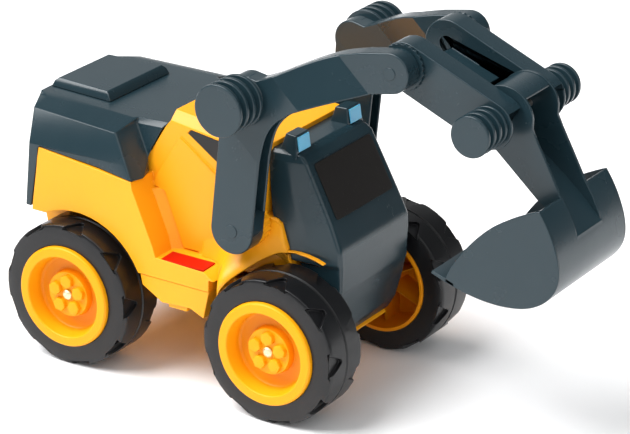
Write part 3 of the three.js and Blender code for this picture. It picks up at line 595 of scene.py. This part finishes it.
# ---- hand grips ----------------------------------------------------------------------
GRIPS = {  # radius, length, stem length, bore, the body it moves with
    "elbow_grip": (21.0, 30.7, 12.0, 0.0, "boom"),
    "dipper_grip": (16.3, 29.2, 0.01, 3.3, "dipper_arm"),
}
GRIP_STEPS = 80
STEM_RADIUS = 8.0
BORE_DEPTH = 12.0
DISC_COUNT = 4
DISC_THICKNESS = 3.4
NECK_DEPTH = 5.6
DISC_ROUNDING, DISC_FRONT_ROUNDING, LAST_DISC_ROUNDING = 0.9, 1.0, 1.6
FACE_EDGE = 2.6  # from the last disc's rim to its end face
FACE_RISE = 0.02
FACE_ROUNDING = 0.5


def grip_profile(radius, length, stem_length, bore, inner):
    """Closed [r, y] outline of a grip whose first disc starts at inner."""
    start, end = inner - stem_length, inner + length
    neck = radius - NECK_DEPTH
    pitch = (length - DISC_THICKNESS) / (DISC_COUNT - 1)
    profile = [(bore, start), (STEM_RADIUS, start), (STEM_RADIUS, inner)]
    for i in range(DISC_COUNT - 1):
        low = inner + i * pitch
        high = low + DISC_THICKNESS
        profile += [(radius, low, DISC_ROUNDING), (radius, high, DISC_FRONT_ROUNDING),
                    (neck, high, DISC_ROUNDING), (neck, low + pitch, DISC_ROUNDING)]
    low = inner + (DISC_COUNT - 1) * pitch
    profile += [(radius, low, DISC_ROUNDING), (radius, low + DISC_THICKNESS, LAST_DISC_ROUNDING),
                (radius - FACE_EDGE, end - FACE_RISE, FACE_ROUNDING), (0.0, end)]
    if bore:
        profile += [(0.0, inner + BORE_DEPTH), (bore, inner + BORE_DEPTH)]
    return profile


def ribbed_grip(kind, side):
    """Four rounded discs on a waisted neck, as on a hand grip."""
    radius, length, stem_length, bore, body = GRIPS[kind]
    node = f"{kind}_{side}"
    low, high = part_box(node)
    sign = SIDES[side]
    inner = (low[1] if sign > 0 else -high[1]) / MM + stem_length
    centre = ((low[0] + high[0]) / 2, 0.0, (low[2] + high[2]) / 2)
    bm = bmesh.new()
    lathe(bm, rounded(grip_profile(radius, length, stem_length, bore, inner)), GRIP_STEPS, centre, sign)
    finish_piece(bm, f"{node}_ribbed", body, "slate_plastic", [node])


# ---- boom arms ----------------------------------------------------------------------
ARM_PIVOT = (149.0, 146.0)
ARM_TIP = (271.0, 292.0)
ELBOW = (157.0, 256.0)
ARM_THICKNESS = 17.0
ARM_SKIN = 2.6
ARM_OVERLAP = 1.3  # how deep the spine sits in each skin
ARM_ROUNDING = 1.2
LOWER_EDGE = arc(ARM_PIVOT, 19.0, 172, 353, 28)
INNER_EDGE = curve_through([(174, 209), (177, 226), (182, 237), (191, 246), (206.5, 255), (254, 272)])
TIP_EDGE = arc(ARM_TIP, 16.0, -75, 103, 26)
TOP_EDGE = curve_through([(246, 303.5), (228, 298.5), (212, 293), (196, 285.5), (181.5, 278), (168, 272)])
ELBOW_EDGE = arc(ELBOW, 18.0, 88, 195, 14)
CHANNEL_EDGE = [
    (169.6, 162.4), (134.5, 165), (141.5, 235), (142.5, 256), (147.5, 266), (157, 270.5),
    (168, 268.5), (182, 274), (212, 288.5), (229, 294), (248, 299), (250.9, 270.9), (254, 272),
]
DRUM_PROFILE = [(0.0, 71.5), (17.8, 71.5, 1.5), (17.8, 86.0), (0.0, 86.0)]
DRUM_STEPS = 64
CREASE = (0.68, 0.733)  # direction along which the arm leans inward, square to its creases
# Each step of the lean: distance along that direction, distance of the outer face from the centre line.
LEAN = [(-1000.0, 90.0), (270.0, 90.0), (326.5, 84.0), (372.0, 62.0), (2000.0, 62.0)]
CUT_DISTANCE = 0.0000005  # metres


def lean_at(x, z):
    """Distance of the arm's outer face from the centre line; it steps inward at the creases."""
    along = x * CREASE[0] + z * CREASE[1]
    for (start, low), (end, high) in zip(LEAN, LEAN[1:]):
        if along <= end:
            return low + (along - start) * (high - low) / (end - start)
    return LEAN[-1][1]


def crease(bm):
    """Cuts sharp lines across the arm where its lean changes."""
    for along, _ in LEAN[1:-1]:
        origin = Vector(at(along * CREASE[0], 0.0, along * CREASE[1]))
        geometry = bm.verts[:] + bm.edges[:] + bm.faces[:]
        result = bmesh.ops.bisect_plane(bm, geom=geometry, dist=CUT_DISTANCE, plane_co=origin,
                                        plane_no=(CREASE[0], 0.0, CREASE[1]))
        for item in result["geom_cut"]:
            if isinstance(item, bmesh.types.BMEdge):
                item.smooth = False


def boom_arm(side):
    """Channel-section arm: two skins, a spine between them, a drum behind the elbow grip."""
    sign = SIDES[side]
    whole = LOWER_EDGE + INNER_EDGE + TIP_EDGE + TOP_EDGE + ELBOW_EDGE
    core = LOWER_EDGE + CHANNEL_EDGE + TIP_EDGE + TOP_EDGE + ELBOW_EDGE
    bm = bmesh.new()
    rounded_plate(bm, whole, 0.0, ARM_SKIN, ARM_ROUNDING)
    rounded_plate(bm, whole, ARM_THICKNESS - ARM_SKIN, ARM_THICKNESS, ARM_ROUNDING)
    plain_plate(bm, core, ARM_SKIN - ARM_OVERLAP, ARM_THICKNESS - ARM_SKIN + ARM_OVERLAP)
    crease(bm)
    for vert in bm.verts:
        x = (vert.co.x - REAR_AXLE_X) / MM
        vert.co.y = sign * (lean_at(x, vert.co.z / MM) * MM - vert.co.y)
    lathe(bm, rounded(DRUM_PROFILE), DRUM_STEPS, at(ELBOW[0], 0.0, ELBOW[1]), sign)
    piece = finish_piece(bm, f"boom_arm_{side}_moulded", "boom", "slate_plastic", [f"boom_arm_{side}"])
    weighted(piece, keep_sharp=True)


# ---- bucket ------------------------------------------------------------------------------
BUCKET_HALF = 53.8
BUCKET_WALL = 2.6
BUCKET_ROUNDING = 0.7
BACK_MARGIN = 1.4  # from a side plate's outer face to the end of the back inside it
BUCKET_BACK = curve_through([
    (396.5, 208.2), (403.2, 198), (409.4, 185.5), (414, 172), (415.4, 158.5), (412, 146.5),
    (403, 135.5), (389, 128), (372, 125), (356, 125), (338, 127.5), (319, 132.8),
], 5)
BUCKET_INNER = curve_through([
    (393.4, 206), (400.5, 196), (406.5, 184.2), (411, 171), (412.5, 159), (409.3, 148.2),
    (401.2, 138.2), (388, 131.2), (372, 128.2), (356, 128.1), (338.5, 130.6), (319.5, 136),
], 5)
BACK_INNER_TOP = (410.0, 177.6)  # where the inner face starts below the yoke's floor
BUCKET_RIM = curve_through([
    (319.5, 136.5), (324.5, 147), (335, 162.5), (346, 175.5), (358.5, 187), (374, 197.2),
    (386, 203.6), (392.5, 206.7),
], 5)
LIP_ROUNDING = 0.3
BUCKET_LIP = [(327, 130.7), (327, 133.4), (319.4, 136), (308, 139.4), (307, 137.2), (319, 132.8)]
YOKE_PIVOT = (346.0, 261.0)
YOKE_HALF = 21.0
YOKE_ROUNDING = 0.5
YOKE_MARGIN = 1.3  # from a cheek's outer face to the end of the head or floor inside it
YOKE_BACK_MARGIN = 1.2
CHEEK_RADIUS, HEAD_RADIUS, HEAD_BORE = 25.0, 24.3, 22.0
YOKE_FLOOR = [(338, 242.5), (358.5, 226), (380, 209.8), (397, 195.4), (411.6, 180.6)]
YOKE_FLOOR_UNDER = [(x - 1.7, z - 2.0) for x, z in YOKE_FLOOR]  # one wall thickness away
YOKE_FLOOR_END = (334.6, 239.4)
YOKE_FRONT = [(409.4, 185.6), (403.2, 198.2), (396.5, 208.4), (385, 229.5), (375, 247.5), (370.6, 256.5)]
YOKE_UNDER = [(379, 200.5), (395, 192), (409, 178), (411.4, 179.6)]


def side_walls(bm, outline, half, radius):
    """The same upright wall on both sides, its outer face half away from the centre line."""
    for low, high in ((-half, BUCKET_WALL - half), (half - BUCKET_WALL, half)):
        rounded_plate(bm, outline, low, high, radius)


def back_below_yoke():
    """Outline of the curved back from where the yoke's floor runs into it down to the lip."""
    top = YOKE_FLOOR[-1]
    back = [top] + [point for point in BUCKET_BACK if point[1] < top[1]]
    inner = [point for point in BUCKET_INNER if point[1] < BACK_INNER_TOP[1] - 1.0]
    return back + inner[::-1] + [BACK_INNER_TOP]


def yoke(bm):
    """Channel arm of the bucket: two cheeks, a round head and a floor that fades into the back."""
    cheek = arc(YOKE_PIVOT, CHEEK_RADIUS, 8, 245, 40) + YOKE_UNDER + YOKE_FRONT
    side_walls(bm, cheek, YOKE_HALF, YOKE_ROUNDING)
    head = arc(YOKE_PIVOT, HEAD_RADIUS, 45, 245, 40) + arc(YOKE_PIVOT, HEAD_BORE, 45, 243, 40)[::-1]
    floor = YOKE_FLOOR + YOKE_FLOOR_UNDER[::-1] + [YOKE_FLOOR_END]
    for outline in (head, floor):
        plain_plate(bm, outline, YOKE_MARGIN - YOKE_HALF, YOKE_HALF - YOKE_MARGIN)


def bucket():
    """Scoop with thin side plates, a smooth back, a digging lip and the channel arm."""
    bm = bmesh.new()
    side_walls(bm, BUCKET_BACK + BUCKET_RIM, BUCKET_HALF, BUCKET_ROUNDING)
    back = BUCKET_BACK + BUCKET_INNER[::-1]
    plain_plate(bm, back, BACK_MARGIN - BUCKET_HALF, YOKE_MARGIN - YOKE_HALF)
    plain_plate(bm, back, YOKE_HALF - YOKE_MARGIN, BUCKET_HALF - BACK_MARGIN)
    plain_plate(bm, back_below_yoke(), YOKE_BACK_MARGIN - YOKE_HALF, YOKE_HALF - YOKE_BACK_MARGIN)
    rounded_plate(bm, BUCKET_LIP, -BUCKET_HALF, BUCKET_HALF, LIP_ROUNDING, 2)
    yoke(bm)
    piece = finish_piece(bm, "bucket_moulded", "scoop", "slate_plastic", ["bucket"])
    weighted(piece, keep_sharp=True)


# ---- sill and fairing ---------------------------------------------------------------------
REFLECTOR_CORNERS = [(80.7, 70.7), (121.3, 70.7), (122.3, 88.8), (81.7, 88.8)]
REFLECTOR_ROWS = ((104.2, 0.0), (105.9, 0.0), (106.25, 0.35))  # height, how far the outline shrinks
FAIRING_X = [100, 122, 138, 151, 166, 185]
FAIRING_SECTIONS = [  # height, distance from the centre line at each of FAIRING_X
    (96, [65, 69, 90, 85, 73, 60.4]), (105, [63, 68, 86, 83, 72, 60.4]), (113, [61, 65, 78, 80, 71, 60.3]),
    (127, [60, 61, 65, 68, 66, 60.2]), (151, [59, 59, 59, 59, 59, 59]),
]
FAIRING_FOOT = 96.0  # below this height the sections no longer change
FAIRING_WIDEST = 89.6
SKIN_WIDEST = 90.1
SKIN_START, SKIN_END = 104.0, 184.6
SKIN_COLUMNS, SKIN_ROWS = 56, 26
SKIN_CROWDING = 1.4  # rows stand closer together near the foot
SKIN_OFFSET = 1.3  # how far the skin stands off the solid, fading out over the top rows
SKIN_FADE = 0.3
SKIN_DEPTH = 3.2
SKIN_LEAST_RISE = 0.6
SKIN_INNER_LIFT = 0.2
SKIN_ROLL = {0: (1.0, 0.35), 1: (0.3, 0.0)}  # row: how far it turns in, how far it is raised
SKIN_TOP_X = [100, 163, 174.5, 184.6]
SKIN_TOP_Z = [151, 151, 147.6, 120.5]
ARCH_RADIUS = 67.3
ARCH_DROP = 4.2  # how much lower the skin reaches toward the tyre at the sill end
ARCH_DROP_FROM = 176.0  # the drop grows from here toward the sill
ARCH_DROP_LENGTH = 22.0
WHEELBASE = 192.5
AXLE_HEIGHT = 60.0
SILL_TOP = 104.6
SILL_BREAK = 123  # in front of this the sill's top slopes down
SILL_SLOPE = 0.61
SILL_END = 133.5


def sill_reflector(side):
    """Red reflector that fills its seat flush with the top of the sill."""
    sign = SIDES[side]
    bm = bmesh.new()
    loops = []
    for z, shrink in REFLECTOR_ROWS:
        loops.append([bm.verts.new(at(x, sign * y, z)) for x, y in inset(REFLECTOR_CORNERS, shrink)])
    skin(bm, loops)
    weighted(finish_piece(bm, f"sill_reflector_{side}_set", "body", "reflector_plastic",
                          [f"sill_reflector_{side}"]))


def fairing_out(x, z):
    """Distance of the swept surface from the centre line."""
    heights = [section[0] for section in FAIRING_SECTIONS]
    across = [smooth_value(FAIRING_X, section[1], x) for section in FAIRING_SECTIONS]
    return min(smooth_value(heights, across, max(z, FAIRING_FOOT)), FAIRING_WIDEST)


def skin_foot(x):
    """Lower edge of the skin: the wheel arch, or the sill where that is higher."""
    radius = ARCH_RADIUS - ARCH_DROP * min(1.0, max(0.0, (ARCH_DROP_FROM - x) / ARCH_DROP_LENGTH))
    reach = radius ** 2 - (x - WHEELBASE) ** 2
    arch = AXLE_HEIGHT + math.sqrt(reach) if reach > 0 else 0.0
    sill = SILL_TOP - max(0.0, x - SILL_BREAK) * SILL_SLOPE
    return max(arch, sill) if x < SILL_END else arch


def skin_column(bm, x, sign):
    """The outer and the inner line of the skin at one place along the toy."""
    foot = skin_foot(x)
    rise = max(smooth_value(SKIN_TOP_X, SKIN_TOP_Z, x) - foot, SKIN_LEAST_RISE)
    outer, inner = [], []
    for k in range(SKIN_ROWS + 1):
        z = foot + rise * (k / SKIN_ROWS) ** SKIN_CROWDING
        offset = SKIN_OFFSET * min(1.0, (1.0 - k / SKIN_ROWS) / SKIN_FADE)
        y = min(fairing_out(x, z) + offset, SKIN_WIDEST)
        roll, lift = SKIN_ROLL.get(k, (0.0, 0.0))
        outer.append(bm.verts.new(at(x, sign * (y - roll), z + lift)))
        inner.append(bm.verts.new(at(x, sign * (y - SKIN_DEPTH), z + SKIN_INNER_LIFT)))
    return outer, inner


def fairing_skin(side):
    """Smooth skin over the sweep from the sill's front corner up to the cab above the wheel."""
    bm = bmesh.new()
    columns = []
    for i in range(SKIN_COLUMNS + 1):
        x = SKIN_START + (SKIN_END - SKIN_START) * i / SKIN_COLUMNS
        columns.append(skin_column(bm, x, SIDES[side]))
    for (outer, inner), (next_outer, next_inner) in zip(columns, columns[1:]):
        for k in range(SKIN_ROWS):
            bm.faces.new((outer[k], next_outer[k], next_outer[k + 1], outer[k + 1]))
            bm.faces.new((inner[k], inner[k + 1], next_inner[k + 1], next_inner[k]))
        bm.faces.new((outer[0], inner[0], next_inner[0], next_outer[0]))
        bm.faces.new((outer[-1], next_outer[-1], next_inner[-1], inner[-1]))
    for outer, inner in (columns[0], columns[-1]):
        for k in range(SKIN_ROWS):
            bm.faces.new((outer[k], outer[k + 1], inner[k + 1], inner[k]))
    finish_piece(bm, f"arch_fairing_{side}_skin", "body", "yellow_plastic")


# ---- front cowl -----------------------------------------------------------------------
# Each row: height, rear x, rear half width, ridge x, ridge half width, front x, front half width,
# and the share of the way to its neighbours over which the row is rounded.
COWL_ROWS = [
    (50, 206, 46, 208, 46, 212.5, 44, 0.0), (60, 207, 48, 210, 48, 218, 46.5, 0.15),
    (82, 207, 50.5, 212, 50.5, 222.5, 49.5, 0.15), (97, 206, 52, 212, 52, 225, 51, 0.1),
    (117, 189, 54, 205, 53.5, 225.5, 51, 0.05), (120.5, 185, 59.3, 203, 57.5, 225.5, 51.4, 0.15),
    (132, 181.5, 57.5, 197, 56.5, 224.9, 51.2, 0.225),
    (152.3, 165.5, 57, 191, 55.5, 215.5, 49.5, 0.125), (197, 159, 53, 173, 52, 191.6, 48, 0.06),
    (202, 158, 52, 172, 50.5, 186, 46.5, 0.225), (204.5, 159, 49, 170, 47, 181, 43, 0.0),
]
ROW_STEPS = 5
REAR_CORNER, RIDGE_CORNER, FRONT_CORNER = 0.5, 3.0, 3.4
CORNER_STEPS = 5
CROWN_RISE = 0.35
CROWN_INSET = 1.4
# Each row: height, rear x, front x, distances of the inner and outer face from the centre line.
TOWER_ROWS = [(199, 163, 182.2, 25.5, 50), (206, 165.5, 181, 27, 48), (217.4, 168.7, 179.35, 28, 46.2)]
TOWER_REAR_INNER, TOWER_REAR_OUTER = 1, 2  # how much nearer the centre line the rear corners are
TOWER_ROUNDING = 1.1
TOWER_SEGMENTS = 4
PANEL_THICKNESS = 0.0007  # of the carried-over solid, in metres
PANEL_TAPER = 0.3
PANEL_CORNER = 3.0
PANEL_CORNER_STEPS = 6
PANEL_LAYERS = ((0.0, 0.0), (0.00035, 0.0), (0.0005, 0.15))  # metres forward, mm the outline shrinks


def blended_rows(rows):
    """Turns every row that has a share into a few rows on a curve."""
    result = []
    for i, row in enumerate(rows):
        here, share = Vector(row[:-1]), row[-1]
        if not share:
            result.append(here)
            continue
        start = here.lerp(Vector(rows[i - 1][:-1]), share)
        end = here.lerp(Vector(rows[i + 1][:-1]), share)
        result += bent(start, here, end, ROW_STEPS)
    return result


def cowl_section(row, shrink=0.0):
    """Level section through the cowl, with its front corners and ridges rounded."""
    z, rear, rear_half, ridge, ridge_half, front, front_half = row
    half = [(rear, rear_half - shrink, REAR_CORNER),
            (ridge - shrink, ridge_half - shrink, RIDGE_CORNER),
            (front - shrink, front_half - shrink, FRONT_CORNER)]
    loop = half + [(x, -y, r) for x, y, r in reversed(half)]
    return [(x, y, z) for x, y in rounded(loop, steps=CORNER_STEPS)]


def front_cowl():
    """Sloping nose with soft edges and a ridge down each flank."""
    bm = bmesh.new()
    rows = blended_rows(COWL_ROWS)
    sections = [cowl_section(row) for row in rows]
    crown = rows[-1].copy()
    crown[0] += CROWN_RISE
    sections.append(cowl_section(crown, CROWN_INSET))
    skin(bm, [[bm.verts.new(at(*point)) for point in section] for section in sections])
    weighted(finish_piece(bm, "front_cowl_moulded", "body", "slate_plastic", ["front_cowl"]))


def lamp_tower(side):
    """Tapered housing that holds a lamp lens on top of the cowl."""
    sign = SIDES[side]
    bm = bmesh.new()
    loops = []
    for z, rear, front, inner, outer in TOWER_ROWS:
        corners = [(rear, inner - TOWER_REAR_INNER), (rear, outer - TOWER_REAR_OUTER),
                   (front, outer), (front, inner)]
        loops.append([bm.verts.new(at(x, sign * y, z)) for x, y in corners])
    skin(bm, loops)
    tower = finish_piece(bm, f"lamp_tower_{side}", "body", "slate_plastic")
    add_bevel(tower, TOWER_ROUNDING, TOWER_SEGMENTS)
    weighted(tower)


def front_panel():
    """Plain film label with rounded corners on the sloping face."""
    low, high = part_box("front_panel")
    slope = (high[0] - low[0] - PANEL_THICKNESS) / (high[2] - low[2])
    half, height = high[1] / MM, (high[2] - low[2]) / MM
    corners = [(-half, 0.0), (half, 0.0), (half - PANEL_TAPER, height), (PANEL_TAPER - half, height)]
    outline = rounded(corners, PANEL_CORNER, PANEL_CORNER_STEPS)
    bm = bmesh.new()
    loops = []
    for lift, shrink in PANEL_LAYERS:
        loop = []
        for y, rise in inset(outline, shrink):
            x = high[0] - PANEL_THICKNESS - rise * MM * slope + lift
            loop.append(bm.verts.new((x, y * MM, low[2] + rise * MM)))
        loops.append(loop)
    skin(bm, loops)
    weighted(finish_piece(bm, "front_panel_film", "body", "panel_film", ["front_panel"]))


# ---- build ---------------------------------------------------------------------------
def add_floor():
    """The paper the toy stands on."""
    half = FLOOR_SIZE / 2
    mesh = bpy.data.meshes.new("floor")
    corners = [(-half, -half, 0.0), (half, -half, 0.0), (half, half, 0.0), (-half, half, 0.0)]
    mesh.from_pydata(corners, [], [(0, 1, 2, 3)])
    mesh.materials.append(floor_paper())
    floor = bpy.data.objects.new("floor", mesh)
    bpy.context.scene.collection.objects.link(floor)


add_camera()
add_world()
add_suns()
add_panel_light()
add_floor()
dress_nodes()
for wheel_end in ("rear", "front"):
    for wheel_side in SIDES:
        rim(wheel_end, wheel_side)
        axle_cap(wheel_end, wheel_side)
front_cowl()
for tower_side in SIDES:
    lamp_tower(tower_side)
front_panel()
bucket()
for arm_side in SIDES:
    sill_reflector(arm_side)
    fairing_skin(arm_side)
    boom_arm(arm_side)
    ribbed_grip("elbow_grip", arm_side)
    ribbed_grip("dipper_grip", arm_side)

bpy.context.scene.view_settings.view_transform = "Standard"
